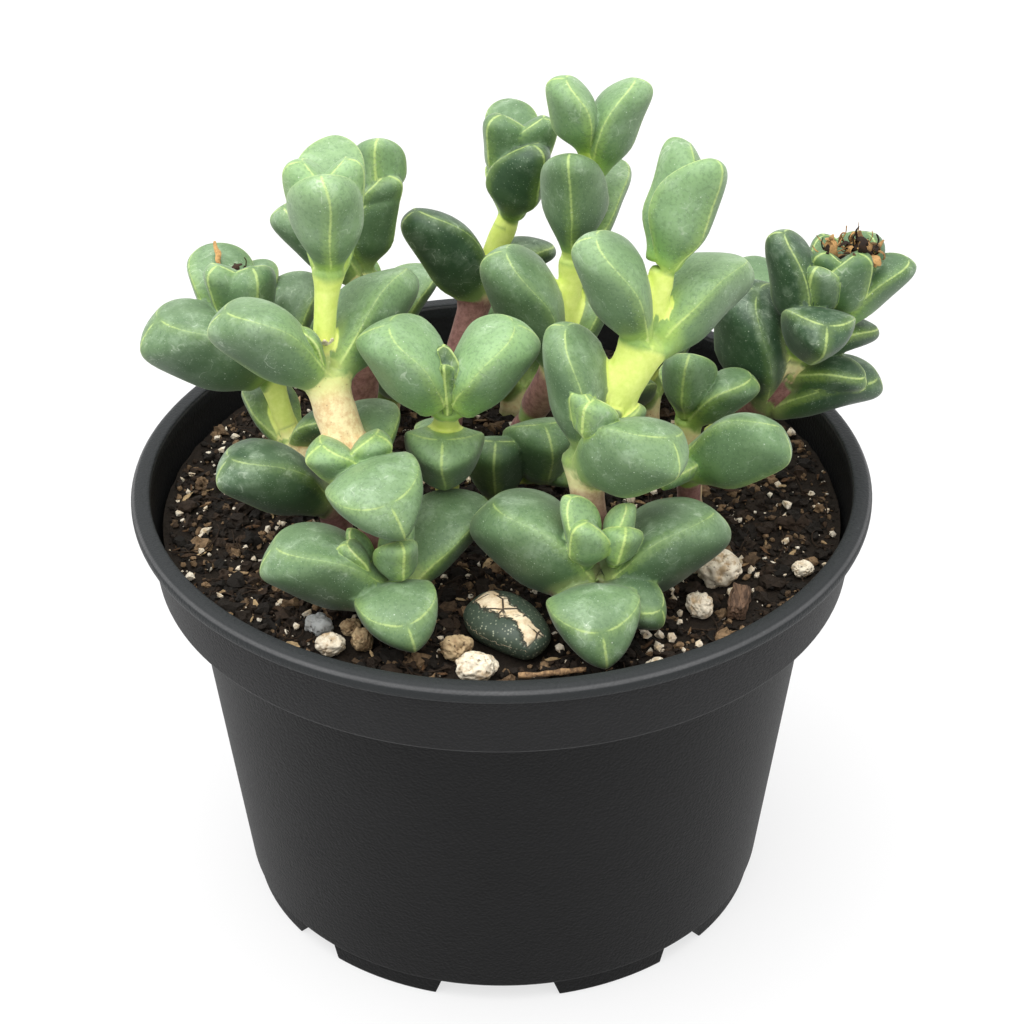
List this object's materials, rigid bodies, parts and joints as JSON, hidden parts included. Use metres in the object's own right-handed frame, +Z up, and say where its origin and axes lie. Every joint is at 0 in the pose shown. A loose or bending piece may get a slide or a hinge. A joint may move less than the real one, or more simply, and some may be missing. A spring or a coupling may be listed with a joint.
{
  "type": "potted corpuscularia lehmannii",
  "caption": "Branching succulent with fat three-edged blue-green leaves in crossed pairs, growing in a filled black plastic nursery pot.",
  "frame": {"origin": "middle of the bounding box seen from above, on the surface that the pot stands on", "axes": "+Z up along the pot's axis, -Y towards the front that the picture shows, +X to the right of that view"},
  "size_m": [0.1142, 0.108, 0.1263],
  "materials": {
    "pot_plastic": "fine-grained moulded black",
    "potting_mix": "rough, loose and matt",
    "leaf_skin": "waxy, satin, with a pale bloom",
    "pale_stone": "rough, matt and pitted",
    "bark": "raw and fibrous",
    "dried_leaf": "wrinkled, with a cracked tan skin"
  },
  "bodies": {
    "root": {"pot": "pot_plastic", "soil": "potting_mix", "shoot_front_left": "leaf_skin", "shoot_left_behind": "leaf_skin", "shoot_far_left": "leaf_skin", "shoot_low_middle": "leaf_skin", "shoot_centre_pale": "leaf_skin", "shoot_front_right": "leaf_skin", "shoot_top_middle": "leaf_skin", "shoot_back_middle": "leaf_skin", "shoot_far_right": "leaf_skin", "shoot_right_small": "leaf_skin", "shoot_right_low": "leaf_skin", "shoot_right_behind": "leaf_skin", "shoot_back_left": "leaf_skin", "shoot_back": "leaf_skin", "shoot_back_right": "leaf_skin", "stone_1": "pale_stone", "stone_2": "pale_stone", "stone_3": "pale_stone", "stone_4": "pale_stone", "stone_5": "pale_stone", "stone_6": "pale_stone", "stone_7": "pale_stone", "stone_8": "pale_stone", "stone_9": "pale_stone", "stone_10": "pale_stone", "bark_chip": "bark", "fallen_leaf": "dried_leaf", "twig": "bark"}
  },
  "joints": []
}
